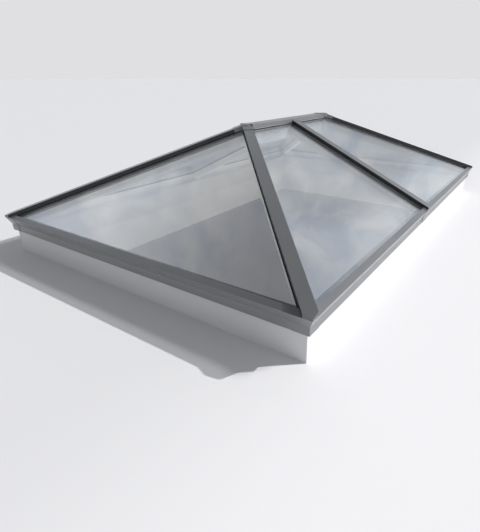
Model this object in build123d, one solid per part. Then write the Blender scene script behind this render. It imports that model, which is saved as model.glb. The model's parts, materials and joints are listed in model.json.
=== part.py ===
from build123d import *
import math
import os

# Hipped roof lantern: a fixed rectangular skylight with a short ridge, on its own kerb.
# X runs along the ridge, Y across it and Z up, in millimetres.
# The origin is under the middle of the kerb.
# Sections of the eaves are drawn as (s, z): s inward from the fascia, z up from its lower edge.
# Sections square to a slope use (u, v): u up the slope, v square to it, from the same edge.

# Kerb and overall size
KERB_LENGTH = 3000.0
KERB_WIDTH = 2000.0
KERB_HEIGHT = 150.0
KERB_WALL = 70.0
PITCH = 25.0
FASCIA_OVERHANG = 15.0
FASCIA_LAP = 14.0
DECK_HOLE_DIAMETER = 9.0
DECK_HOLE_SPACING = 2400.0

# Glass units
GLASS_RISE = 84.0
PANE = 6.0
CAVITY = 16.0
SPACER_WIDTH = 12.0
EDGE_TO_HIP = 18.0
EDGE_TO_RAFTER = 10.0
EDGE_TO_RIDGE = 23.0
EDGE_TO_EAVES = 26.5
BED_GASKET = 4.0
BED_GASKET_WIDTH = 8.0
BED_GASKET_INSET = 2.0
EAVES_PAD_END = 74.0
BLOCK_LENGTH = 100.0
BLOCK_TOP_DROP = 4.0
BLOCK_PLACES = (0.2, 0.8)

# Eaves covers
COVER_WALL = 2.5
FASCIA_HEIGHT = 38.0
COVER_OVER_GLASS = 5.0
COVER_END = 47.8
SADDLE_WALL = 2.5
SADDLE_HALF = 52.0
CORNER_WALL = 1.5
CORNER_LEG = 74.0
EAVES_GASKET_START = 36.0

# Eaves beams
BEAM_WALL = 3.0
BEAM_OUTER = 20.0
BEAM_INNER = 50.0
FLANGE_INNER = 84.0
SEAL = 3.0
SEAL_OUTER = 18.0
SEAL_INNER = 60.0
CLEAT_LEG = 120.0
CLEAT_HEIGHT = 35.0

# Inner bars and the hubs that join them
BAR_HALF = 20.0
RAFTER_DEPTH = 46.0
HIP_BOTTOM = 82.0
NOSE_HALF = 5.0
NOSE_DROP = 0.1
RIDGE_HALF_WIDTH = 30.0
RIDGE_NOSE_HALF = 8.0
RIDGE_DEPTH = 77.0
HUB_APOTHEM = 45.0
HUB_HEIGHT = 55.0
HUB_BITE = 5.0
STEM_RADIUS = 10.0
SPIGOT_LENGTH = 60.0
SPIGOT_GAP = 0.5

# Caps, clamping strips and outer gaskets
CAP_HALF = 30.0
CAP_WALL = 2.5
RAFTER_CAP_RISE = 20.4
HIP_CAP_RISE = 14.25
CAP_TOE = 21.5
RIDGE_CAP_HALF = 45.0
RIDGE_CAP_TOP = 10.7
RIDGE_CAP_FOOT = 14.3
RIDGE_CAP_END = 20.0
HIP_HEAD = 45.0
OUTER_GASKET = 3.0
LIP_START = 14.0
LIP_OUT = 4.0
STRIP = 3.0
STRIP_GAP = 2.0
END_CAP_WALL = 2.5
END_CAP_ON_RIDGE = 45.0
END_CAP_ON_HIP = 55.0

# Screws, with their places along each kind of bar
SCREW_DIAMETER = 5.0
SCREW_HEAD = 10.0
SCREW_HEAD_HEIGHT = 3.0
SCREW_GAP = 0.2
KERB_SCREW_LENGTH = 40.0
KERB_SCREW_INSET = 67.0
KERB_SCREWS_LONG_SIDE = (-900.0, 900.0)
CLAMP_SCREW_LENGTH = 26.0
CHANNEL_DEPTH = 26.0
HIP_SCREWS = (250.0, 850.0)
RAFTER_SCREWS = (600.0,)
RIDGE_SCREWS = (-250.0, 250.0)

# Spare length on bodies that are cut afterwards
REACH = 1700.0
SPARE = 100.0

# Worked-out values
HALF_LENGTH = KERB_LENGTH / 2 + FASCIA_OVERHANG
HALF_WIDTH = KERB_WIDTH / 2 + FASCIA_OVERHANG
RIDGE_HALF = HALF_LENGTH - HALF_WIDTH
EAVES_Z = KERB_HEIGHT - FASCIA_LAP
COS = math.cos(math.radians(PITCH))
SIN = math.sin(math.radians(PITCH))
TAN = SIN / COS
GLASS_TOP = GLASS_RISE * COS
GLASS_BOTTOM = GLASS_TOP - 2 * PANE - CAVITY
LEDGE = GLASS_BOTTOM - BED_GASKET
SHELF = LEDGE - BEAM_WALL
STRIP_LOW = GLASS_TOP + OUTER_GASKET
STRIP_HIGH = STRIP_LOW + STRIP
COVER_TOP = GLASS_TOP + COVER_OVER_GLASS
COVER_UNDER = COVER_TOP - COVER_WALL
COVER_NOSE = SIN * FASCIA_HEIGHT
LIP_OUTER = COVER_NOSE + COVER_WALL
LIP_INNER = LIP_OUTER + BEAM_WALL
FLANGE_LOW = FASCIA_LAP + SEAL
FLANGE_HIGH = FLANGE_LOW + BEAM_WALL
HIP_STRETCH = math.sqrt(2 + TAN * TAN)
HIP_FALL = TAN / HIP_STRETCH
HIP_COS = 1 / math.sqrt(1 + HIP_FALL * HIP_FALL)
RIDGE_Z = EAVES_Z + GLASS_RISE + TAN * HALF_WIDTH
RIDGE_COVER_END = RIDGE_HALF - RIDGE_CAP_END
CHANNEL_HALF = (SCREW_DIAMETER + SCREW_GAP) / 2

# Each side: half its run, half the lantern's depth across it and its turn from the south side
SIDES = {
    "south": (HALF_LENGTH, HALF_WIDTH, 0),
    "east": (HALF_WIDTH, HALF_LENGTH, 90),
    "north": (HALF_LENGTH, HALF_WIDTH, 180),
    "west": (HALF_WIDTH, HALF_LENGTH, 270),
}
# Each corner: whether the south-west piece is mirrored to the east and to the north
CORNERS = {"south_west": (False, False), "south_east": (True, False),
           "north_west": (False, True), "north_east": (True, True)}

# The first hip rises from the south-west corner: sections are (p, q), p level, q up.
HIP = Plane(origin=(-HALF_LENGTH, -HALF_WIDTH, EAVES_Z + GLASS_RISE),
            x_dir=(-1, 1, 0), z_dir=(1, 1, TAN))
# The first rafter rises from the middle of the south side: sections are (x, v).
RAFTER = Plane(origin=(0, -HALF_WIDTH, EAVES_Z), x_dir=(-1, 0, 0), z_dir=(0, COS, SIN))
# Sections across the ridge are (y, z), with z measured from the top of the glass.
RIDGE = Plane(origin=(0, 0, RIDGE_Z), x_dir=(0, 1, 0), z_dir=(1, 0, 0))

os.makedirs("parts", exist_ok=True)


def save(name, body):
    export_step(body, "parts/" + name + ".step")


def group(solids):
    return Compound(children=list(solids))


def outline(points):
    """A face with these corners, turned so that its normal is the plane's."""
    area = sum(a[0] * b[1] - b[0] * a[1] for a, b in zip(points, points[1:] + points[:1]))
    ordered = points if area > 0 else points[::-1]
    return Polygon(*ordered, align=None)


def both_halves(right):
    """The corners of a symmetrical outline, from the corners of its right half."""
    return right + [(-x, y) for x, y in reversed(right) if x > 0]


def on_slope(u, v):
    """The (s, z) point that lies u up the slope and v square to it."""
    return (COS * u - SIN * v, SIN * u + COS * v)


def z_at(s, v):
    """Height above the fascia's edge of level v at the distance s."""
    return (v + SIN * s) / COS


def hip_level(level, p):
    """Height q of a slope level at the distance p from the hip's middle."""
    return (level - GLASS_TOP) / HIP_COS - HIP_FALL * abs(p)


def ridge_level(level, y):
    """Height of a slope level at the distance y from the ridge, from the top of the glass."""
    return (level - GLASS_TOP) / COS - TAN * abs(y)


def keep_beyond(body, point, direction):
    return split(body, bisect_by=Plane(origin=point, z_dir=direction), keep=Keep.TOP)


def placed(body, side):
    """A piece of the south side turned to another side."""
    return Rot(0, 0, SIDES[side][2]) * body


def corner_copy(body, corner):
    """The south-west piece mirrored to another corner."""
    east, north = CORNERS[corner]
    if east:
        body = mirror(body, about=Plane.YZ)
    if north:
        body = mirror(body, about=Plane.XZ)
    return body


def side_bar(corners, run, depth, hollow=None):
    """A bar along the south side, mitred at 45 degrees at both ends."""
    section = Plane(origin=(0, -depth, EAVES_Z), x_dir=(0, 1, 0), z_dir=(1, 0, 0))
    face = outline(corners)
    if hollow:
        face = face - outline(hollow)
    bar = extrude(section * face, amount=REACH, both=True)
    plan = outline([(-run - SPARE, -depth - SPARE), (run + SPARE, -depth - SPARE),
                    (run - SPARE, -depth + SPARE), (-run + SPARE, -depth + SPARE)])
    return bar & extrude(plan, amount=2 * EAVES_Z)


def corner_piece(corners, leg):
    """A south-west corner piece made from a south and a west bar cut short."""
    south = keep_beyond(side_bar(corners, HALF_LENGTH, HALF_WIDTH),
                        (-HALF_LENGTH + leg, 0, 0), (-1, 0, 0))
    west = keep_beyond(placed(side_bar(corners, HALF_WIDTH, HALF_LENGTH), "west"),
                       (0, -HALF_WIDTH + leg, 0), (0, -1, 0))
    return south + west


def south_slope(depth, level):
    """The plane of a level on the south slope, with its Y up the slope."""
    lift = (0, -depth - SIN * level, EAVES_Z + COS * level)
    return Plane(origin=lift, x_dir=(1, 0, 0), z_dir=(0, -SIN, COS))


def sheet(face, depth, level, thickness):
    return extrude(south_slope(depth, level) * face, amount=thickness)


def under_cover(side, top):
    """What one side's eaves take up below a level and outside the end of their cover."""
    run, depth, turn = SIDES[side]
    corners = [on_slope(-SPARE / 2, 0), on_slope(COVER_END, 0), on_slope(COVER_END, top),
               on_slope(-SPARE / 2, top)]
    return placed(side_bar(corners, run, depth), side)


def hip_bar(corners, start, end):
    """A bar along the first hip between two distances inward from the fascia."""
    face = HIP.offset(start * HIP_STRETCH) * outline(corners)
    return extrude(face, amount=(end - start) * HIP_STRETCH)


def inside_both(body, inset):
    """What lies further in than the inset from the south and the west fascia."""
    body = keep_beyond(body, (-HALF_LENGTH + inset, 0, 0), (1, 0, 0))
    return keep_beyond(body, (0, -HALF_WIDTH + inset, 0), (0, 1, 0))


def up_both_slopes(body, u):
    """What lies further up than u on the south and on the west slope."""
    body = keep_beyond(body, (0, -HALF_WIDTH + COS * u, EAVES_Z + SIN * u), (0, COS, SIN))
    return keep_beyond(body, (-HALF_LENGTH + COS * u, 0, EAVES_Z + SIN * u), (COS, 0, SIN))


def inward_at(from_apex):
    """Distance inward from the fascia of the hip's point at this plan distance from the apex."""
    return HALF_WIDTH - from_apex / math.sqrt(2)


def upright_at_head(body, from_apex):
    """Cut a hip piece with an upright plane that stands square to it near the apex."""
    inward = inward_at(from_apex)
    return keep_beyond(body, (inward - HALF_LENGTH, inward - HALF_WIDTH, 0), (-1, -1, 0))


def rafter_bar(low, high, left, right, u_from):
    face = outline([(left, low), (right, low), (right, high), (left, high)])
    return extrude(RAFTER.offset(u_from) * face, amount=REACH)


def before_ridge(body, distance):
    """What lies on the south side of an upright plane this far from the ridge."""
    return keep_beyond(body, (0, -distance, 0), (0, -1, 0))


def ridge_bar(corners, end):
    return extrude(RIDGE * outline(corners), amount=end, both=True)


def drill(points, diameter, top, bottom):
    """Upright cylinders at plan points, from one height down to another."""
    return [Pos(x, y, (top + bottom) / 2) * Cylinder(diameter / 2, top - bottom) for x, y in points]


def screw(length):
    """A hexagon-headed screw standing on the underside of its head."""
    shank = Cylinder(SCREW_DIAMETER / 2, length, align=(Align.CENTER, Align.CENTER, Align.MAX))
    return shank + extrude(RegularPolygon(SCREW_HEAD / 2, 6), amount=SCREW_HEAD_HEIGHT)


def screw_bore(place):
    return place * Cylinder(CHANNEL_HALF, 2 * CLAMP_SCREW_LENGTH)


def cover_outline():
    """One-piece fascia, leaning nose and top plate that laps the glass."""
    knee_v = (COS * LIP_OUTER - COVER_WALL) / SIN
    return [(0, 0), (0, FASCIA_HEIGHT), on_slope(COVER_NOSE, COVER_TOP),
            on_slope(COVER_END, COVER_TOP), on_slope(COVER_END, COVER_UNDER),
            on_slope(LIP_OUTER, COVER_UNDER), on_slope(LIP_OUTER, knee_v), (COVER_WALL, 0)]


def skin_outline(wall):
    """A thin cover that follows the outside of the eaves cover."""
    nose = COVER_NOSE - wall
    knee_v = (COS * nose + wall) / SIN
    return [(0, 0), (-wall, 0), on_slope(nose, knee_v), on_slope(nose, COVER_TOP + wall),
            on_slope(COVER_END, COVER_TOP + wall), on_slope(COVER_END, COVER_TOP),
            on_slope(COVER_NOSE, COVER_TOP), (0, FASCIA_HEIGHT)]


def ring_outline():
    """Hollow eaves beam with a bottom flange and a lip that stops the glass."""
    return [(COVER_WALL, FLANGE_LOW), (FLANGE_INNER, FLANGE_LOW), (FLANGE_INNER, FLANGE_HIGH),
            (BEAM_INNER, FLANGE_HIGH), (BEAM_INNER, z_at(BEAM_INNER, LEDGE)),
            on_slope(LIP_INNER, LEDGE), on_slope(LIP_INNER, COVER_UNDER),
            on_slope(LIP_OUTER, COVER_UNDER), on_slope(LIP_OUTER, SHELF),
            (BEAM_OUTER, z_at(BEAM_OUTER, SHELF)), (BEAM_OUTER, FLANGE_HIGH),
            (COVER_WALL, FLANGE_HIGH)]


def ring_hollow():
    inside = BEAM_INNER - BEAM_WALL
    outside = BEAM_OUTER + BEAM_WALL
    return [(outside, FLANGE_HIGH), (inside, FLANGE_HIGH), (inside, z_at(inside, SHELF)),
            (outside, z_at(outside, SHELF))]


def cleat_outline():
    inside = BEAM_INNER - BEAM_WALL
    outside = BEAM_OUTER + BEAM_WALL
    top = FLANGE_HIGH + CLEAT_HEIGHT
    return [(outside, FLANGE_HIGH), (inside, FLANGE_HIGH), (inside, top), (outside, top)]


def nose_outline(level_at, half, top):
    """The upright rib between two glass units, with the open channel for the screws."""
    return both_halves([(0, level_at(LEDGE, 0)), (half, level_at(LEDGE, half)), (half, top),
                        (CHANNEL_HALF, top), (CHANNEL_HALF, top - CHANNEL_DEPTH)])


def strip_outline(level_at, flat, half):
    """A clamping strip with a flat middle and sides that follow the two slopes."""
    return both_halves([(flat, level_at(STRIP_LOW, flat)), (half, level_at(STRIP_LOW, half)),
                        (half, level_at(STRIP_HIGH, half)), (flat, level_at(STRIP_HIGH, flat))])


def lip_outline(level_at, end, sign):
    """An outer gasket on one side of a bar, lying on the glass."""
    return [(sign * LIP_START, level_at(GLASS_TOP, LIP_START)),
            (sign * end, level_at(GLASS_TOP, end)), (sign * end, level_at(STRIP_LOW, end)),
            (sign * LIP_START, level_at(STRIP_LOW, LIP_START))]


def hip_form(half, rise, toe, head):
    """Filled form of a hip cap between its pointed foot and a distance from the apex."""
    face = both_halves([(0, hip_level(STRIP_LOW, 0)), (half, hip_level(STRIP_LOW, half)),
                        (half, rise)])
    bar = hip_bar(face, -SPARE, HALF_WIDTH + SPARE)
    return upright_at_head(inside_both(bar, -toe), head)


def hip_room(half, rise, toe, head):
    """Space inside a hip cap, open below."""
    face = both_halves([(half, -CAP_HALF), (half, rise)])
    bar = hip_bar(face, -SPARE, HALF_WIDTH + SPARE)
    return upright_at_head(inside_both(bar, -toe), head)


def ridge_form(half, top, end, foot=RIDGE_CAP_FOOT):
    return ridge_bar(both_halves([(half, -foot), (half, top)]), end)


def hip_edge(run, u):
    """Distance from the middle of the side to the unit's edge beside a hip."""
    return run - COS * u + SIN * GLASS_TOP - EDGE_TO_HIP * math.hypot(1, COS)


def quad_outline(sign):
    """A unit of a long side, from the rafter to a hip."""
    near = sign * EDGE_TO_RAFTER
    top = (HALF_WIDTH - EDGE_TO_RIDGE + SIN * GLASS_TOP) / COS
    return [(near, EDGE_TO_EAVES), (sign * hip_edge(HALF_LENGTH, EDGE_TO_EAVES), EDGE_TO_EAVES),
            (sign * hip_edge(HALF_LENGTH, top), top), (near, top)]


def triangle_outline():
    """The unit of a short side, between two hips."""
    low = hip_edge(HALF_WIDTH, EDGE_TO_EAVES)
    return [(-low, EDGE_TO_EAVES), (low, EDGE_TO_EAVES), (0, EDGE_TO_EAVES + low / COS)]


def ring(face, outer, inner):
    """A band inside a face, between two distances from its edge."""
    big = offset(face, -outer, kind=Kind.INTERSECTION) if outer else face
    return big - offset(face, -inner, kind=Kind.INTERSECTION)


# Kerb with its seal and the screws that hold the eaves beams down
flange_top = EAVES_Z + FLANGE_HIGH
kerb_screw_y = HALF_WIDTH - KERB_SCREW_INSET
kerb_screw_x = HALF_LENGTH - KERB_SCREW_INSET
kerb_screw_points = [(x, y) for x in KERB_SCREWS_LONG_SIDE for y in (-kerb_screw_y, kerb_screw_y)]
kerb_screw_points += [(-kerb_screw_x, 0), (kerb_screw_x, 0)]
screw_holes = drill(kerb_screw_points, 2 * CHANNEL_HALF, flange_top, flange_top - KERB_SCREW_LENGTH)

wall_middle = (KERB_WIDTH - KERB_WALL) / 2
deck_points = [(x, y) for x in (-DECK_HOLE_SPACING / 2, DECK_HOLE_SPACING / 2)
               for y in (-wall_middle, wall_middle)]
kerb_plan = (Rectangle(KERB_LENGTH, KERB_WIDTH)
             - Rectangle(KERB_LENGTH - 2 * KERB_WALL, KERB_WIDTH - 2 * KERB_WALL))
kerb = extrude(kerb_plan, amount=KERB_HEIGHT)
kerb -= drill(deck_points, DECK_HOLE_DIAMETER, KERB_HEIGHT, 0) + screw_holes
save("kerb", kerb)

seal_plan = (Rectangle(2 * (HALF_LENGTH - SEAL_OUTER), 2 * (HALF_WIDTH - SEAL_OUTER))
             - Rectangle(2 * (HALF_LENGTH - SEAL_INNER), 2 * (HALF_WIDTH - SEAL_INNER)))
save("sill_seal", Pos(0, 0, KERB_HEIGHT) * extrude(seal_plan, amount=SEAL))

kerb_screw = screw(KERB_SCREW_LENGTH)
save("kerb_screws", group(Pos(x, y, flange_top) * kerb_screw for x, y in kerb_screw_points))

# Eaves beams and covers, with the pieces that cover or join their corners
for side, (run, depth, turn) in SIDES.items():
    beam = placed(side_bar(ring_outline(), run, depth, ring_hollow()), side)
    save("ring_beam_" + side, beam - screw_holes)
    save("eaves_cover_" + side, placed(side_bar(cover_outline(), run, depth), side))

cleat = corner_piece(cleat_outline(), CLEAT_LEG)
save("corner_cleats", group(corner_copy(cleat, corner) for corner in CORNERS))
corner_cover = corner_piece(skin_outline(CORNER_WALL), CORNER_LEG)
for corner in CORNERS:
    save("corner_cover_" + corner, corner_copy(corner_cover, corner))

saddle = side_bar(skin_outline(SADDLE_WALL), HALF_LENGTH, HALF_WIDTH)
saddle = keep_beyond(saddle, (-SADDLE_HALF, 0, 0), (1, 0, 0))
saddle = keep_beyond(saddle, (SADDLE_HALF, 0, 0), (-1, 0, 0))
for side in ("south", "north"):
    save("saddle_cover_" + side, placed(saddle, side))

# Hip beams: a hollow box under the glass with a rib between the units
hip_hollow_top = hip_level(LEDGE, BAR_HALF - BEAM_WALL) - BEAM_WALL
hip_box_face = both_halves([(BAR_HALF, -HIP_BOTTOM), (BAR_HALF, hip_level(LEDGE, BAR_HALF)),
                            (0, hip_level(LEDGE, 0))])
hip_hollow_face = both_halves([(BAR_HALF - BEAM_WALL, BEAM_WALL - HIP_BOTTOM),
                               (BAR_HALF - BEAM_WALL, hip_hollow_top)])
hip_box = hip_bar(hip_box_face, 0, HALF_WIDTH) - hip_bar(hip_hollow_face, 0, HALF_WIDTH)
hip_box = upright_at_head(inside_both(hip_box, BEAM_INNER), HUB_APOTHEM)
hip_nose_top = hip_level(GLASS_TOP - NOSE_DROP, NOSE_HALF)
hip_nose = hip_bar(nose_outline(hip_level, NOSE_HALF, hip_nose_top), -SPARE, HALF_WIDTH + SPARE)
hip_nose = upright_at_head(up_both_slopes(hip_nose, LIP_INNER), LIP_START)
hip_beam = hip_box + hip_nose
for corner in CORNERS:
    save("hip_beam_" + corner, corner_copy(hip_beam, corner))

# Rafter beams
rafter_box_face = (Rectangle(2 * BAR_HALF, RAFTER_DEPTH)
                   - Rectangle(2 * (BAR_HALF - BEAM_WALL), RAFTER_DEPTH - 2 * BEAM_WALL))
rafter_box = extrude(RAFTER * Pos(0, LEDGE - RAFTER_DEPTH / 2) * rafter_box_face, amount=REACH)
rafter_box = keep_beyond(rafter_box, (0, -HALF_WIDTH + BEAM_INNER, 0), (0, 1, 0))
rafter_box = before_ridge(rafter_box, RIDGE_HALF_WIDTH)
rafter_nose_top = GLASS_TOP - NOSE_DROP
rafter_nose_face = outline(both_halves([(NOSE_HALF, LEDGE), (NOSE_HALF, rafter_nose_top),
                                        (CHANNEL_HALF, rafter_nose_top),
                                        (CHANNEL_HALF, rafter_nose_top - CHANNEL_DEPTH)]))
rafter_nose = extrude(RAFTER.offset(LIP_INNER) * rafter_nose_face, amount=REACH)
rafter_beam = rafter_box + before_ridge(rafter_nose, RIDGE_NOSE_HALF)
for side in ("south", "north"):
    save("rafter_beam_" + side, placed(rafter_beam, side))

# Ridge beam
ridge_bottom = ridge_level(LEDGE, 0) - RIDGE_DEPTH
ridge_hollow_top = ridge_level(LEDGE, RIDGE_HALF_WIDTH) - BEAM_WALL
ridge_hollow_half = RIDGE_HALF_WIDTH - BEAM_WALL
ridge_box_face = both_halves([(RIDGE_HALF_WIDTH, ridge_bottom),
                              (RIDGE_HALF_WIDTH, ridge_level(LEDGE, RIDGE_HALF_WIDTH)),
                              (0, ridge_level(LEDGE, 0))])
ridge_hollow_face = both_halves([(ridge_hollow_half, ridge_bottom + BEAM_WALL),
                                 (ridge_hollow_half, ridge_hollow_top)])
ridge_nose_top = ridge_level(GLASS_TOP, RIDGE_NOSE_HALF) - NOSE_DROP
ridge_box_end = RIDGE_HALF - HUB_APOTHEM
ridge_beam = ridge_bar(ridge_box_face, ridge_box_end) - ridge_bar(ridge_hollow_face, ridge_box_end)
ridge_beam += ridge_bar(nose_outline(ridge_level, RIDGE_NOSE_HALF, ridge_nose_top),
                        RIDGE_HALF - LIP_START)
save("ridge_beam", ridge_beam)

# Hub at the west end of the ridge: eight-sided, with a spigot for each of its three bars
hub_bottom = RIDGE_Z + ridge_bottom
hub_top = hub_bottom + HUB_HEIGHT
hub_ceiling = RIDGE_Z + RIDGE_CAP_TOP
at_apex = Pos(-RIDGE_HALF, 0)
hub_plan = RegularPolygon(HUB_APOTHEM, 8, major_radius=False, rotation=22.5)
hub = Pos(0, 0, hub_bottom) * extrude(at_apex * hub_plan, amount=HUB_HEIGHT)
hub += Pos(0, 0, hub_top) * extrude(at_apex * RegularPolygon(STEM_RADIUS, 8),
                                    amount=hub_ceiling - hub_top)
spigot_low = hub_bottom + BEAM_WALL
ridge_spigot = Box(SPIGOT_LENGTH, 2 * (ridge_hollow_half - SPIGOT_GAP), hub_top - spigot_low,
                   align=(Align.MIN, Align.CENTER, Align.MIN))
hub += Pos(-RIDGE_HALF + HUB_APOTHEM, 0, spigot_low) * ridge_spigot
spigot_half = BAR_HALF - BEAM_WALL - SPIGOT_GAP
spigot_face = both_halves([(spigot_half, BEAM_WALL - HIP_BOTTOM),
                           (spigot_half, hip_hollow_top - SPIGOT_GAP)])
hip_spigot = hip_bar(spigot_face, inward_at(HUB_APOTHEM + SPIGOT_LENGTH), HALF_WIDTH)
hip_spigot = upright_at_head(hip_spigot, HUB_APOTHEM - HUB_BITE)
hub += hip_spigot + mirror(hip_spigot, about=Plane.XZ)
save("ridge_hub_west", hub)
save("ridge_hub_east", mirror(hub, about=Plane.YZ))

# Clamping strips, their screws and the outer gaskets, bar by bar
clamp_screw = screw(CLAMP_SCREW_LENGTH)
strip_start = COVER_END + STRIP_GAP
strip_half = CAP_HALF - CAP_WALL
lip_end = CAP_HALF + LIP_OUT
ridge_lip_end = RIDGE_CAP_HALF + LIP_OUT

hip_flat = SCREW_HEAD / 2
hip_places = []
for inward in HIP_SCREWS:
    section = HIP.offset(inward * HIP_STRETCH)
    seat = section.from_local_coords((0, hip_level(STRIP_HIGH, hip_flat), 0))
    hip_places.append(Plane(origin=seat, x_dir=section.x_dir, z_dir=section.y_dir).location)
hip_clamp = hip_bar(strip_outline(hip_level, hip_flat, strip_half), -SPARE, HALF_WIDTH + SPARE)
hip_clamp = upright_at_head(up_both_slopes(hip_clamp, strip_start), HIP_HEAD)
hip_clamp -= [screw_bore(place) for place in hip_places]
hip_lips = []
for sign in (-1, 1):
    lip = hip_bar(lip_outline(hip_level, lip_end, sign), -SPARE, HALF_WIDTH + SPARE)
    hip_lips.append(upright_at_head(up_both_slopes(lip, COVER_END), HIP_HEAD))

rafter_places = []
for climb in RAFTER_SCREWS:
    seat = RAFTER.offset(climb).from_local_coords((0, STRIP_HIGH, 0))
    rafter_places.append(Plane(origin=seat, x_dir=(1, 0, 0), z_dir=RAFTER.y_dir).location)
rafter_clamp = rafter_bar(STRIP_LOW, STRIP_HIGH, -strip_half, strip_half, strip_start)
rafter_clamp = before_ridge(rafter_clamp, RIDGE_CAP_HALF)
rafter_clamp -= [screw_bore(place) for place in rafter_places]
rafter_lips = []
for left, right in ((LIP_START, lip_end), (-lip_end, -LIP_START)):
    lip = rafter_bar(GLASS_TOP, STRIP_LOW, left, right, COVER_END)
    rafter_lips.append(before_ridge(lip, ridge_lip_end))

ridge_flat = SCREW_HEAD / 2 + RIDGE_NOSE_HALF / 2
ridge_seat = RIDGE_Z + ridge_level(STRIP_HIGH, ridge_flat)
ridge_places = [Pos(x, 0, ridge_seat) for x in RIDGE_SCREWS]
ridge_clamp = ridge_bar(strip_outline(ridge_level, ridge_flat, RIDGE_CAP_HALF - CAP_WALL),
                        RIDGE_COVER_END)
ridge_clamp -= [screw_bore(place) for place in ridge_places]

strips = [ridge_clamp]
screws = [place * clamp_screw for place in ridge_places]
gaskets = [ridge_bar(lip_outline(ridge_level, ridge_lip_end, sign), RIDGE_COVER_END)
           for sign in (-1, 1)]
for corner in CORNERS:
    strips.append(corner_copy(hip_clamp, corner))
    screws += [corner_copy(place * clamp_screw, corner) for place in hip_places]
    gaskets += [corner_copy(lip, corner) for lip in hip_lips]
for side in ("south", "north"):
    strips.append(placed(rafter_clamp, side))
    screws += [placed(place * clamp_screw, side) for place in rafter_places]
    gaskets += [placed(lip, side) for lip in rafter_lips]
eaves_gasket = [on_slope(EAVES_GASKET_START, GLASS_TOP), on_slope(COVER_END, GLASS_TOP),
                on_slope(COVER_END, COVER_UNDER), on_slope(EAVES_GASKET_START, COVER_UNDER)]
for side, (run, depth, turn) in SIDES.items():
    gaskets.append(placed(side_bar(eaves_gasket, run, depth), side))
save("clamp_strips", group(strips))
save("clamp_screws", group(screws))
save("outer_gaskets", group(gaskets))

# Hip and rafter caps: their feet reach over the corner covers and the saddle covers
hip_cap = hip_form(CAP_HALF, HIP_CAP_RISE, CAP_TOE, HIP_HEAD)
hip_cap -= [hip_room(CAP_HALF - CAP_WALL, HIP_CAP_RISE - CAP_WALL, CAP_TOE - CAP_WALL, 0),
            under_cover("south", COVER_TOP + CORNER_WALL),
            under_cover("west", COVER_TOP + CORNER_WALL)]
for corner in CORNERS:
    save("hip_cap_" + corner, corner_copy(hip_cap, corner))

rafter_top = GLASS_TOP + RAFTER_CAP_RISE
rafter_cap = rafter_bar(STRIP_LOW, rafter_top, -CAP_HALF, CAP_HALF, -SPARE)
rafter_cap = keep_beyond(rafter_cap, (0, -HALF_WIDTH - CAP_TOE, 0), (0, 1, 0))
rafter_room = rafter_bar(-SPARE, rafter_top - CAP_WALL, -strip_half, strip_half, -SPARE)
rafter_room = keep_beyond(rafter_room, (0, -HALF_WIDTH - CAP_TOE + CAP_WALL, 0), (0, 1, 0))
rafter_cap -= [rafter_room, under_cover("south", COVER_TOP + SADDLE_WALL)]
rafter_cap = before_ridge(rafter_cap, RIDGE_CAP_HALF)
for side in ("south", "north"):
    save("rafter_cap_" + side, placed(rafter_cap, side))

# Ridge cap
ridge_cap = ridge_form(RIDGE_CAP_HALF, RIDGE_CAP_TOP, RIDGE_COVER_END)
ridge_cap -= ridge_form(RIDGE_CAP_HALF - CAP_WALL, RIDGE_CAP_TOP - CAP_WALL, REACH)
save("ridge_cap", ridge_cap)

# Ridge end cap: one shell over the end of the ridge cap and the heads of two hip caps
shell = hip_form(CAP_HALF + END_CAP_WALL, HIP_CAP_RISE + END_CAP_WALL, CAP_TOE, 0)
shell_start = HIP.offset((HALF_WIDTH - END_CAP_ON_HIP) * HIP_STRETCH).origin
shell = keep_beyond(shell, shell_start, HIP.z_dir)
arm = ridge_form(RIDGE_CAP_HALF + END_CAP_WALL, RIDGE_CAP_TOP + END_CAP_WALL, RIDGE_HALF)
arm = keep_beyond(arm, (-RIDGE_HALF + END_CAP_ON_RIDGE, 0, 0), (-1, 0, 0))
over_all = Box(2 * REACH, 2 * REACH, CAP_HALF, align=(Align.CENTER, Align.CENTER, Align.MIN))
west_end = shell + mirror(shell, about=Plane.XZ) + arm
west_end -= Pos(0, 0, hub_ceiling + END_CAP_WALL) * over_all
hip_inside = hip_room(CAP_HALF, HIP_CAP_RISE, CAP_TOE, 0)
ridge_inside = ridge_form(RIDGE_CAP_HALF, RIDGE_CAP_TOP, RIDGE_HALF, CAP_HALF)
west_room = hip_inside + mirror(hip_inside, about=Plane.XZ) + ridge_inside
west_end -= west_room - Pos(0, 0, hub_ceiling) * over_all
save("ridge_end_cap_west", west_end)
save("ridge_end_cap_east", mirror(west_end, about=Plane.YZ))

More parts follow.
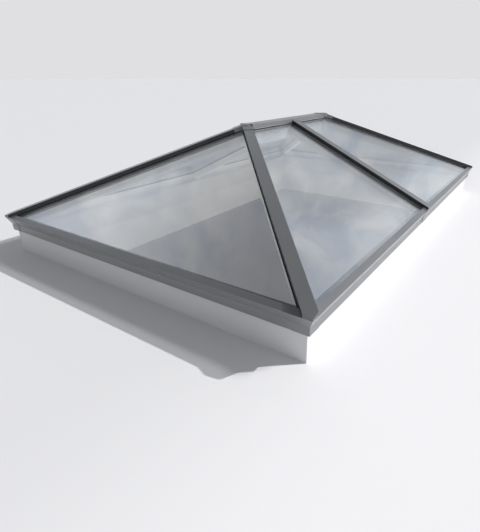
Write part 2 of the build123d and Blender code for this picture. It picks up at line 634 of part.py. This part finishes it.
# Glass units: outlines are drawn on the plane of each sheet
UNITS = {
    "south_west": ("south", quad_outline(-1)), "south_east": ("south", quad_outline(1)),
    "north_west": ("north", quad_outline(1)), "north_east": ("north", quad_outline(-1)),
    "west": ("west", triangle_outline()), "east": ("east", triangle_outline()),
}
eaves_strip = Pos(0, EAVES_PAD_END / 2) * Rectangle(2 * REACH, EAVES_PAD_END)
bed_gaskets = []
blocks = []
for name, (side, corners) in UNITS.items():
    depth = SIDES[side][1]
    face = outline(corners)
    save("outer_pane_" + name, placed(sheet(face, depth, GLASS_TOP - PANE, PANE), side))
    save("inner_pane_" + name, placed(sheet(face, depth, GLASS_BOTTOM, PANE), side))
    spacer = ring(face, 0, SPACER_WIDTH)
    save("spacer_" + name, placed(sheet(spacer, depth, GLASS_BOTTOM + PANE, CAVITY), side))
    pad = offset(face, -BED_GASKET_INSET, kind=Kind.INTERSECTION) & eaves_strip
    bed = ring(face, BED_GASKET_INSET, BED_GASKET_INSET + BED_GASKET_WIDTH) + pad
    bed_gaskets.append(placed(sheet(bed, depth, LEDGE, BED_GASKET), side))
    left = min(x for x, u in corners if u == EDGE_TO_EAVES)
    right = max(x for x, u in corners if u == EDGE_TO_EAVES)
    for share in BLOCK_PLACES:
        foot = Pos(left + share * (right - left), (LIP_INNER + EDGE_TO_EAVES) / 2)
        foot *= Rectangle(BLOCK_LENGTH, EDGE_TO_EAVES - LIP_INNER)
        height = GLASS_TOP - BLOCK_TOP_DROP - LEDGE
        blocks.append(placed(sheet(foot, depth, LEDGE, height), side))
save("inner_gaskets", group(bed_gaskets))
save("setting_blocks", group(blocks))
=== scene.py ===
import json
import math

import bpy
from mathutils import Matrix, Vector


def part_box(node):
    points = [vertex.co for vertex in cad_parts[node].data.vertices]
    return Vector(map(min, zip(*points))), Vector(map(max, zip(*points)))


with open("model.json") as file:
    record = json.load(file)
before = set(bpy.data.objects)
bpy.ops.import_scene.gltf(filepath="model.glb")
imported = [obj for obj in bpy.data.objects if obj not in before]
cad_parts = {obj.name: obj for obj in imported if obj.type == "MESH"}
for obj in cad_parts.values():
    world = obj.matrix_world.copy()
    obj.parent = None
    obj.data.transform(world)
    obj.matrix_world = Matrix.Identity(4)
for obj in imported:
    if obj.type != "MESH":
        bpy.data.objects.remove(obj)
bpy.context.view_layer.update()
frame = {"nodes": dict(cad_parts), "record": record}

# The kerb's top and the opening inside its walls, in metres
KERB_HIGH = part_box("kerb")[1]
KERB_WALL = 0.07
OPENING_X = KERB_HIGH[0] - KERB_WALL
OPENING_Y = KERB_HIGH[1] - KERB_WALL

# Camera, fitted to the kerb, the hips and the ridge: metres, radians and the photograph's pixels
CAMERA_PLACE = (-2.5607, -1.5522, 0.9604)
CAMERA_YAW = 0.5846
CAMERA_PITCH = 0.4491
CAMERA_ROLL = -0.002
IMAGE_WIDTH, IMAGE_HEIGHT = 480, 532
FOCAL_PIXELS = 399.54
CENTRE_X, CENTRE_Y = 272.67, 270.07
SENSOR = 36.0
CLIP_NEAR, CLIP_FAR = 0.01, 1000.0

# Covers: their tops, the fascia and the leaning nose at the eaves, painted lighter as painted reflected
# light, and the upright flanks of the caps, painted dark as painted shade
COVER_COLOUR = (0.17, 0.173, 0.18)
FASCIA_PAINTED_LIGHT = (0.25, 0.253, 0.26)
NOSE_PAINTED_LIGHT = (0.34, 0.343, 0.35)
FLANK_PAINTED_SHADE = (0.03, 0.03, 0.032)
COVER_ROUGHNESS = 0.36
COVER_METALLIC = 0.5

# Limits on the direction in which a face looks, as parts of a unit vector, for the faces given painted
# light or painted shade
FASCIA_MOST_Z = 0.5
NOSE_MOST_Z = -0.2
HIP_FLANK_LEAST_XY = 0.3
RAFTER_FLANK_LEAST_X = 0.9

# Other colours
KERB_COLOUR = (0.70, 0.705, 0.71)
FRAME_COLOUR = (0.78, 0.78, 0.775)
SPACER_COLOUR = (0.30, 0.305, 0.31)
RUBBER_COLOUR = (0.012, 0.012, 0.013)
FOAM_COLOUR = (0.05, 0.05, 0.052)
STRIP_COLOUR = (0.75, 0.76, 0.77)
CLEAT_COLOUR = (0.72, 0.73, 0.74)
SCREW_COLOUR = (0.6, 0.6, 0.6)

# Glass: the mirror's share seen straight on, and how late it grows towards a flat angle
GLASS_COLOUR = (0.93, 0.95, 0.97)
GLASS_VIEWPORT = (0.7, 0.8, 0.8, 0.3)
GLASS_LEAST_MIRROR = 0.13
GLASS_MIRROR_POWER = 4.0

# Most values of a noise lie between these two
NOISE_LOW, NOISE_HIGH = 0.3, 0.7
# Gloss changes in smaller patches than colour does, by this factor
GLOSS_FINENESS = 2.7
# Orange peel of a powder coat, in dimples per metre
PEEL_SCALE = 900.0
# A curve is cut off only where it rises above this
CURVE_CEILING = 2.0
# The shader that every new material comes with
SHADER = "Principled BSDF"

# Two suns, the haze being a broad, weak one: the way the light travels, its strength and its spread
SUN_COLOUR = (1.0, 0.995, 0.985)
SUN_TRAVEL = (-0.188, 0.227, -0.2)
SUN_STRENGTH = 3.3
SUN_SOFTNESS = math.radians(0.8)
HAZE_TRAVEL = (-0.188, 0.227, -0.262)
HAZE_STRENGTH = 1.0
HAZE_SOFTNESS = math.radians(7.0)

# Backdrop for the camera and fill for everything that is not mirrored
BACKDROP = (0.745, 0.745, 0.762)
FILL_COLOUR = (0.96, 0.98, 1.0)
FILL_STRENGTH = 0.4

# Mirrored sky: clouds, and its level by height, towards the east and round one clearer patch
CLOUD_SCALE = 9.0
CLOUD_DETAIL = 7.0
CLOUD_ROUGHNESS = 0.58
CLOUD_DISTORTION = 0.5
CLOUD_DARK = (0.66, 0.73, 0.835)
CLOUD_LIGHT = (1.0, 1.02, 1.045)
CLOUD_START, CLOUD_END = 0.39, 0.62
SKY_BY_HEIGHT = (
    (0.0, 0.8), (0.3, 0.75), (0.5, 0.85), (0.7, 0.5), (0.8, 0.28), (0.9, 0.16), (1.0, 0.11),
)
SKY_EAST = 0.35
CLEAR_PATCH = (0.893, 0.169, 0.417)
CLEAR_PATCH_EDGE = 0.9
CLEAR_CURVE = ((0.0, 1.0), (0.55, 0.85), (0.72, 0.86), (0.8, 0.74), (0.88, 0.6), (1.0, 0.6))

# Staging, in metres: the floor, the well in its opening, the well's bottom and the light panel over it
STAGE_ROUGHNESS = 0.9
STAGE_SPECULAR = 0.1
FLOOR_REACH = 400.0
# Floor colours: lighter near the front as painted light, darker further back; then where the change starts
# and ends
FLOOR_NEAR = (0.755, 0.752, 0.775)
FLOOR_FAR = (0.648, 0.648, 0.668)
FLOOR_NEAR_Y, FLOOR_FAR_Y = -1.4, -0.4
WELL_DEPTH = 0.23
WELL_COLOUR = (0.78, 0.78, 0.78)
BOTTOM_RISE = 0.001
BOTTOM_MARGIN = 1.5
# The well's bottom: painted shade, dark and faintly glowing as painted light, standing in for a dim room
BOTTOM_PAINTED_SHADE = (0.10, 0.10, 0.105)
BOTTOM_LIGHT = (0.96, 0.98, 1.05)
BOTTOM_GLOW = 0.12
PANEL_DROP = 0.003
PANEL_GAP = 0.002
PANEL_COLOUR = (0.0, 0.0, 0.0)
PANEL_LIGHT = (1.0, 0.975, 0.925)
PANEL_GLOW = 0.92


def node(tree, kind, **values):
    """A shader node whose properties or sockets are set by name."""
    made = tree.nodes.new(kind)
    for name, value in values.items():
        if hasattr(made, name):
            setattr(made, name, value)
        else:
            made.inputs[name.replace("_", " ")].default_value = value
    return made


def link(source, target):
    """Join an output socket to an input socket."""
    target.id_data.links.new(source, target)


def calculate(tree, operation, *values):
    """The result of a maths node, from numbers and other nodes' sockets."""
    made = node(tree, "ShaderNodeMath", operation=operation)
    for socket, value in zip(made.inputs, values):
        if isinstance(value, bpy.types.NodeSocket):
            link(value, socket)
        else:
            socket.default_value = value
    return made.outputs[0]


def new_material(name, colour, roughness, metallic=0.0, specular=0.5):
    """A material with its node tree and shader, plain to begin with."""
    made = bpy.data.materials.new(name)
    made.use_nodes = True
    made.diffuse_color = (*colour, 1)
    tree = made.node_tree
    shader = tree.nodes[SHADER]
    shader.inputs["Base Color"].default_value = (*colour, 1)
    shader.inputs["Roughness"].default_value = roughness
    shader.inputs["Metallic"].default_value = metallic
    shader.inputs["Specular IOR Level"].default_value = specular
    return made, tree, shader


def noise(tree, scale, detail=2.0, squeeze=(1, 1, 1)):
    """Noise in the part's own metres, which can be squeezed along each axis."""
    where = node(tree, "ShaderNodeTexCoord")
    mapping = node(tree, "ShaderNodeMapping", Scale=squeeze)
    made = node(tree, "ShaderNodeTexNoise", Scale=scale, Detail=detail)
    link(where.outputs["Object"], mapping.inputs["Vector"])
    link(mapping.outputs["Vector"], made.inputs["Vector"])
    return made.outputs["Fac"]


def cells(tree, scale):
    """The distance from the middle of the nearest of many small cells."""
    made = node(tree, "ShaderNodeTexVoronoi", Scale=scale)
    return made.outputs["Distance"]


def ramp(tree, value, low, high, start=NOISE_LOW, end=NOISE_HIGH):
    """Turn a value into a colour between two colours."""
    made = node(tree, "ShaderNodeValToRGB")
    first, last = made.color_ramp.elements
    first.position = start
    last.position = end
    first.color = (*low, 1)
    last.color = (*high, 1)
    link(value, made.inputs["Fac"])
    return made.outputs["Color"]


def float_curve(tree, value, points):
    """Pass a value through a smooth curve with the given points."""
    made = node(tree, "ShaderNodeFloatCurve")
    curve = made.mapping.curves[0]
    curve.points[0].location = points[0]
    curve.points[1].location = points[-1]
    for point in points[1:-1]:
        curve.points.new(*point)
    made.mapping.clip_max_y = CURVE_CEILING
    made.mapping.update()
    link(value, made.inputs["Value"])
    return made.outputs["Value"]


def mix_colour(tree, mask, colour, other):
    """Put another colour where the mask is 1."""
    made = node(tree, "ShaderNodeMix", data_type="RGBA")
    inputs = {socket.identifier: socket for socket in made.inputs}
    outputs = {socket.identifier: socket for socket in made.outputs}
    link(mask, inputs["Factor_Float"])
    link(colour, inputs["A_Color"])
    inputs["B_Color"].default_value = (*other, 1)
    return outputs["Result_Color"]


def mix_shader(tree, mask, shader, other):
    """Another shader where the mask is 1."""
    made = node(tree, "ShaderNodeMixShader")
    first, second = made.inputs[1:3]
    link(mask, made.inputs["Fac"])
    link(shader, first)
    link(other, second)
    return made.outputs["Shader"]


def bump(tree, shader, height, strength, depth):
    """Fine relief on a surface, its depth in metres."""
    made = node(tree, "ShaderNodeBump", Strength=strength, Distance=depth)
    link(height, made.inputs["Height"])
    link(made.outputs["Normal"], shader.inputs["Normal"])


def roughness_ramp(tree, shader, value, low, high):
    """Let a value move a surface between two roughnesses."""
    link(ramp(tree, value, (low,) * 3, (high,) * 3), shader.inputs["Roughness"])


def varied(tree, shader, colour, spread, roughness, roughness_spread, scale):
    """Slow changes of colour and gloss over a surface; returns the colour's socket."""
    low = tuple(part * (1 - spread) for part in colour)
    high = tuple(part * (1 + spread) for part in colour)
    tint = ramp(tree, noise(tree, scale, detail=4.0), low, high)
    link(tint, shader.inputs["Base Color"])
    gloss = noise(tree, scale * GLOSS_FINENESS, detail=3.0)
    roughness_ramp(tree, shader, gloss, roughness - roughness_spread, roughness + roughness_spread)
    return tint


def face_direction(tree, axis):
    """How much each face looks along one axis, from -1 to 1."""
    geometry = node(tree, "ShaderNodeNewGeometry")
    apart = node(tree, "ShaderNodeSeparateXYZ")
    link(geometry.outputs["True Normal"], apart.inputs["Vector"])
    return apart.outputs[axis]


def fascia_painted_light_mask(tree):
    """1 on the faces of an eaves cover that are steep, upright or leaning over, which are painted lighter
    as painted reflected light.
    """
    return calculate(tree, "LESS_THAN", face_direction(tree, "Z"), FASCIA_MOST_Z)


def nose_painted_light_mask(tree):
    """1 on the faces of an eaves cover that lean over and look down, which get a still lighter painted
    reflection.
    """
    return calculate(tree, "LESS_THAN", face_direction(tree, "Z"), NOSE_MOST_Z)


def hip_flank_painted_shade_mask(tree):
    """1 on the upright flanks of a hip cap, which look along X and Y at once; they are painted dark as
    painted shade.
    """
    both = calculate(tree, "MULTIPLY", face_direction(tree, "X"), face_direction(tree, "Y"))
    return calculate(tree, "GREATER_THAN", calculate(tree, "ABSOLUTE", both), HIP_FLANK_LEAST_XY)


def rafter_flank_painted_shade_mask(tree):
    """1 on the upright flanks of a rafter cap, which look along X; they are painted dark as painted shade.
    """
    along = calculate(tree, "ABSOLUTE", face_direction(tree, "X"))
    return calculate(tree, "GREATER_THAN", along, RAFTER_FLANK_LEAST_X)


def cover_material(name, painted_light_and_shade=()):
    """Satin metallic powder coat, with painted light or painted shade on each group of faces that is named.
    """
    made, tree, shader = new_material(name, COVER_COLOUR, COVER_ROUGHNESS, metallic=COVER_METALLIC)
    colour = varied(tree, shader, COVER_COLOUR, spread=0.05,
                    roughness=COVER_ROUGHNESS, roughness_spread=0.03, scale=3.0)
    # Paint lighter or darker tones, as painted light and shade, onto the faces that each mask picks
    for faces, painted_tone in painted_light_and_shade:
        colour = mix_colour(tree, faces(tree), colour, painted_tone)
    link(colour, shader.inputs["Base Color"])
    bump(tree, shader, noise(tree, PEEL_SCALE), strength=0.2, depth=0.00004)
    return made


def frame_material():
    """White satin powder coat with a fine orange peel."""
    roughness = 0.4
    made, tree, shader = new_material("frame_white", FRAME_COLOUR, roughness)
    varied(tree, shader, FRAME_COLOUR, spread=0.05, roughness=roughness, roughness_spread=0.04, scale=3.0)
    bump(tree, shader, noise(tree, PEEL_SCALE), strength=0.25, depth=0.00006)
    return made


def kerb_material():
    """Moulded white skin with a soft texture and slow changes of gloss."""
    roughness = 0.42
    made, tree, shader = new_material("kerb_white", KERB_COLOUR, roughness)
    varied(tree, shader, KERB_COLOUR, spread=0.025, roughness=roughness, roughness_spread=0.05, scale=1.6)
    bump(tree, shader, noise(tree, 260.0, detail=3.0), strength=0.18, depth=0.0002)
    return made


def rubber_material():
    """Black gasket rubber, dull and finely grained."""
    roughness = 0.62
    made, tree, shader = new_material("gasket_rubber", RUBBER_COLOUR, roughness, specular=0.35)
    varied(tree, shader, RUBBER_COLOUR, spread=0.2, roughness=roughness, roughness_spread=0.06, scale=30.0)
    bump(tree, shader, noise(tree, 2500.0), strength=0.3, depth=0.0001)
    return made


def foam_material():
    """Dark foam with open cells."""
    made, tree, shader = new_material("seal_foam", FOAM_COLOUR, roughness=0.9, specular=0.2)
    bump(tree, shader, cells(tree, 1400.0), strength=0.6, depth=0.0004)
    return made


def spacer_material():
    """Matt grey spacer bar with a fine pitted surface."""
    roughness = 0.5
    made, tree, shader = new_material("spacer_grey", SPACER_COLOUR, roughness)
    varied(tree, shader, SPACER_COLOUR, spread=0.08, roughness=roughness, roughness_spread=0.05, scale=14.0)
    bump(tree, shader, cells(tree, 700.0), strength=0.4, depth=0.0002)
    return made


def metal_material(name, colour, roughness, squeeze=(1, 1, 1)):
    """Bare metal with fine marks, which lie level where the noise is squeezed in height."""
    made, tree, shader = new_material(name, colour, roughness, metallic=1.0)
    marks = noise(tree, 700.0, detail=3.0, squeeze=squeeze)
    roughness_ramp(tree, shader, marks, roughness - 0.08, roughness + 0.1)
    bump(tree, shader, marks, strength=0.15, depth=0.0001)
    return made


def glass_material():
    """A coated pane: nearly clear seen straight on, a mirror at a flat angle, and faintly wavy."""
    made, tree, shader = new_material("glass", GLASS_COLOUR, roughness=0.012, metallic=1.0)
    made.diffuse_color = GLASS_VIEWPORT
    weight = node(tree, "ShaderNodeLayerWeight", Blend=0.5)
    flatness = calculate(tree, "POWER", weight.outputs["Facing"], GLASS_MIRROR_POWER)
    mirror = node(tree, "ShaderNodeMapRange", To_Min=GLASS_LEAST_MIRROR)
    link(flatness, mirror.inputs["Value"])
    link(mirror.outputs["Result"], shader.inputs["Alpha"])
    bump(tree, shader, noise(tree, 1.1, detail=1.0), strength=0.12, depth=0.002)
    return made


def stage_material(name, colour, light=(1.0, 1.0, 1.0), glow=0.0):
    """A matt staging surface, which may give off an even light."""
    made, _, shader = new_material(name, colour, STAGE_ROUGHNESS, specular=STAGE_SPECULAR)
    shader.inputs["Emission Color"].default_value = (*light, 1)
    shader.inputs["Emission Strength"].default_value = glow
    return made


def floor_material():
    """Pale floor, painted lighter on the sunny side in front of the lantern: a painted pool of light."""
    made = stage_material("stage_floor", FLOOR_FAR)
    tree = made.node_tree
    where = node(tree, "ShaderNodeTexCoord")
    apart = node(tree, "ShaderNodeSeparateXYZ")
    link(where.outputs["Object"], apart.inputs["Vector"])
    blend = node(tree, "ShaderNodeMapRange", interpolation_type="SMOOTHSTEP",
                 From_Min=FLOOR_NEAR_Y, From_Max=FLOOR_FAR_Y)
    link(apart.outputs["Y"], blend.inputs["Value"])
    painted_tone = ramp(tree, blend.outputs["Result"], FLOOR_NEAR, FLOOR_FAR, start=0.0, end=1.0)
    link(painted_tone, tree.nodes[SHADER].inputs["Base Color"])
    return made


MATERIALS = {
    "kerb_white": kerb_material(),
    "frame_white": frame_material(),
    "cover_anthracite": cover_material("cover_anthracite"),
    # Eaves covers get painted light on fascia and nose; hip and rafter caps get painted shade on their
    # flanks
    "eaves_cover": cover_material(
        "eaves_cover", ((fascia_painted_light_mask, FASCIA_PAINTED_LIGHT), (nose_painted_light_mask, NOSE_PAINTED_LIGHT))),
    "hip_cap": cover_material("hip_cap", ((hip_flank_painted_shade_mask, FLANK_PAINTED_SHADE),)),
    "rafter_cap": cover_material("rafter_cap", ((rafter_flank_painted_shade_mask, FLANK_PAINTED_SHADE),)),
    "glass": glass_material(),
    "spacer_grey": spacer_material(),
    "gasket_rubber": rubber_material(),
    "seal_foam": foam_material(),
    "strip_aluminium": metal_material("strip_aluminium", STRIP_COLOUR, roughness=0.35, squeeze=(1, 1, 8)),
    "cleat_aluminium": metal_material("cleat_aluminium", CLEAT_COLOUR, roughness=0.42),
    "screw_steel": metal_material("screw_steel", SCREW_COLOUR, roughness=0.25),
}

# Covers with painted light and shade on some of their faces: the start of a node's name, and its material
LIGHT_AND_SHADE_COVERS = {
    "eaves_cover": "eaves_cover",
    "corner_cover": "eaves_cover",
    "saddle_cover": "eaves_cover",
    "hip_cap": "hip_cap",
    "rafter_cap": "rafter_cap",
}


def material_for(name, slot):
    """The material of a cover with painted light and shade, or else the one of the node's own slot."""
    for start, light_and_shade_material in LIGHT_AND_SHADE_COVERS.items():
        if name.startswith(start):
            return MATERIALS[light_and_shade_material]
    return MATERIALS[slot]


def dress_nodes():
    """Give every node of the frame its material."""
    slots = {part["node"]: part["material_slot"] for part in frame["record"]["subparts"]}
    for name, shown in frame["nodes"].items():
        shown.data.materials.clear()
        shown.data.materials.append(material_for(name, slots[name]))


def stage_mesh(name, points, faces, material):
    """A staging object from plain faces."""
    mesh = bpy.data.meshes.new(name)
    mesh.from_pydata(points, [], faces)
    mesh.materials.append(material)
    made = bpy.data.objects.new(name, mesh)
    bpy.context.scene.collection.objects.link(made)
    return made


def rectangle(half_x, half_y, height):
    """The corners of a level rectangle round the middle, anticlockwise seen from above."""
    sides = ((-1, -1), (1, -1), (1, 1), (-1, 1))
    return [(x * half_x, y * half_y, height) for x, y in sides]


def stage_sheet(name, corners, material):
    """One flat staging surface."""
    return stage_mesh(name, corners, [(0, 1, 2, 3)], material)


def stage_band(name, first, second, material):
    """Four staging faces between two rectangles, each joining a pair of matching sides."""
    faces = [(i, (i + 1) % 4, (i + 1) % 4 + 4, i + 4) for i in range(4)]
    stage_mesh(name, first + second, faces, material)


def make_floor():
    """Wide floor at the kerb's foot, with an opening inside the kerb."""
    outer = rectangle(FLOOR_REACH, FLOOR_REACH, 0.0)
    inner = rectangle(OPENING_X, OPENING_Y, 0.0)
    stage_band("stage_floor", outer, inner, floor_material())


def make_well():
    """Shallow white well under the opening, with a bottom just above the foot of its walls that is painted
    dark with a faint glow, as painted shade and light of a dim room below.
    """
    top = rectangle(OPENING_X, OPENING_Y, 0.0)
    foot = rectangle(OPENING_X, OPENING_Y, -WELL_DEPTH)
    stage_band("stage_well", top, foot, stage_material("stage_well", WELL_COLOUR))
    bottom = rectangle(OPENING_X + BOTTOM_MARGIN, OPENING_Y + BOTTOM_MARGIN, BOTTOM_RISE - WELL_DEPTH)
    stage_sheet("stage_bottom", bottom, stage_material(
        "stage_bottom", BOTTOM_PAINTED_SHADE, light=BOTTOM_LIGHT, glow=BOTTOM_GLOW))


def make_panel():
    """Sheet between the kerb's walls that keeps the sun out of the well and lights it evenly."""
    corners = rectangle(OPENING_X - PANEL_GAP, OPENING_Y - PANEL_GAP, KERB_HIGH[2] - PANEL_DROP)
    panel = stage_sheet("stage_panel", corners, stage_material(
        "stage_panel", PANEL_COLOUR, light=PANEL_LIGHT, glow=PANEL_GLOW))
    panel.visible_camera = False
    panel.visible_glossy = False
    panel.visible_transmission = False


def make_camera():
    """The photograph's view; its height is its longer side, which Blender's lens and shift go by."""
    data = bpy.data.cameras.new("camera")
    data.sensor_fit = "AUTO"
    data.sensor_width = SENSOR
    data.lens = FOCAL_PIXELS / IMAGE_HEIGHT * SENSOR
    data.shift_x = (IMAGE_WIDTH / 2 - CENTRE_X) / IMAGE_HEIGHT
    data.shift_y = (CENTRE_Y - IMAGE_HEIGHT / 2) / IMAGE_HEIGHT
    data.clip_start = CLIP_NEAR
    data.clip_end = CLIP_FAR
    level = math.cos(CAMERA_PITCH)
    forward = Vector((math.cos(CAMERA_YAW) * level, math.sin(CAMERA_YAW) * level, -math.sin(CAMERA_PITCH)))
    right = forward.cross(Vector((0, 0, 1))).normalized()
    up = right.cross(forward)
    cosine, sine = math.cos(CAMERA_ROLL), math.sin(CAMERA_ROLL)
    right, up = right * cosine + up * sine, up * cosine - right * sine
    turn = Matrix((right, up, -forward)).transposed().to_4x4()
    camera = bpy.data.objects.new("camera", data)
    camera.matrix_world = Matrix.Translation(CAMERA_PLACE) @ turn
    bpy.context.scene.collection.objects.link(camera)
    bpy.context.scene.camera = camera


def make_sun(name, travel, strength, softness):
    """A sun whose light travels the given way."""
    data = bpy.data.lights.new(name, "SUN")
    data.energy = strength
    data.angle = softness
    data.color = SUN_COLOUR
    sun = bpy.data.objects.new(name, data)
    sun.rotation_mode = "QUATERNION"
    sun.rotation_quaternion = Vector(travel).to_track_quat("-Z", "Y")
    bpy.context.scene.collection.objects.link(sun)


def clear_patch(tree, direction):
    """The sky's level by how close a direction is to the clearer patch."""
    toward = node(tree, "ShaderNodeVectorMath", operation="DOT_PRODUCT")
    link(direction, toward.inputs[0])
    toward.inputs[1].default_value = CLEAR_PATCH
    near = node(tree, "ShaderNodeMapRange", From_Min=CLEAR_PATCH_EDGE)
    link(toward.outputs["Value"], near.inputs["Value"])
    return float_curve(tree, near.outputs["Result"], CLEAR_CURVE)


def mirrored_sky(tree):
    """Soft clouds that only reflections show."""
    direction = node(tree, "ShaderNodeTexCoord").outputs["Generated"]
    clouds = node(tree, "ShaderNodeTexNoise", Scale=CLOUD_SCALE, Detail=CLOUD_DETAIL,
                  Roughness=CLOUD_ROUGHNESS, Distortion=CLOUD_DISTORTION)
    link(direction, clouds.inputs["Vector"])
    colour = ramp(tree, clouds.outputs["Fac"], CLOUD_DARK, CLOUD_LIGHT, CLOUD_START, CLOUD_END)
    apart = node(tree, "ShaderNodeSeparateXYZ")
    link(direction, apart.inputs["Vector"])
    height = float_curve(tree, apart.outputs["Z"], SKY_BY_HEIGHT)
    east = calculate(tree, "MULTIPLY_ADD", apart.outputs["X"], SKY_EAST, 1.0)
    level = calculate(tree, "MULTIPLY", height, clear_patch(tree, direction))
    sky = node(tree, "ShaderNodeBackground")
    link(colour, sky.inputs["Color"])
    link(calculate(tree, "MULTIPLY", level, east), sky.inputs["Strength"])
    return sky.outputs["Background"]


def make_world():
    """Plain backdrop for the camera, clouded sky for reflections and an even fill for the rest."""
    world = bpy.data.worlds.new("studio")
    bpy.context.scene.world = world
    world.use_nodes = True
    tree = world.node_tree
    tree.nodes.clear()
    path = node(tree, "ShaderNodeLightPath")
    fill = node(tree, "ShaderNodeBackground", Color=(*FILL_COLOUR, 1), Strength=FILL_STRENGTH)
    backdrop = node(tree, "ShaderNodeBackground", Color=(*BACKDROP, 1))
    unseen = mix_shader(tree, path.outputs["Is Glossy Ray"], fill.outputs["Background"], mirrored_sky(tree))
    shown = mix_shader(tree, path.outputs["Is Camera Ray"], unseen, backdrop.outputs["Background"])
    output = node(tree, "ShaderNodeOutputWorld")
    link(shown, output.inputs["Surface"])


dress_nodes()
make_floor()
make_well()
make_panel()
make_camera()
make_sun("sun", SUN_TRAVEL, SUN_STRENGTH, SUN_SOFTNESS)
make_sun("haze", HAZE_TRAVEL, HAZE_STRENGTH, HAZE_SOFTNESS)
make_world()
bpy.context.scene.view_settings.view_transform = "Standard"
bpy.context.scene.view_settings.look = "None"
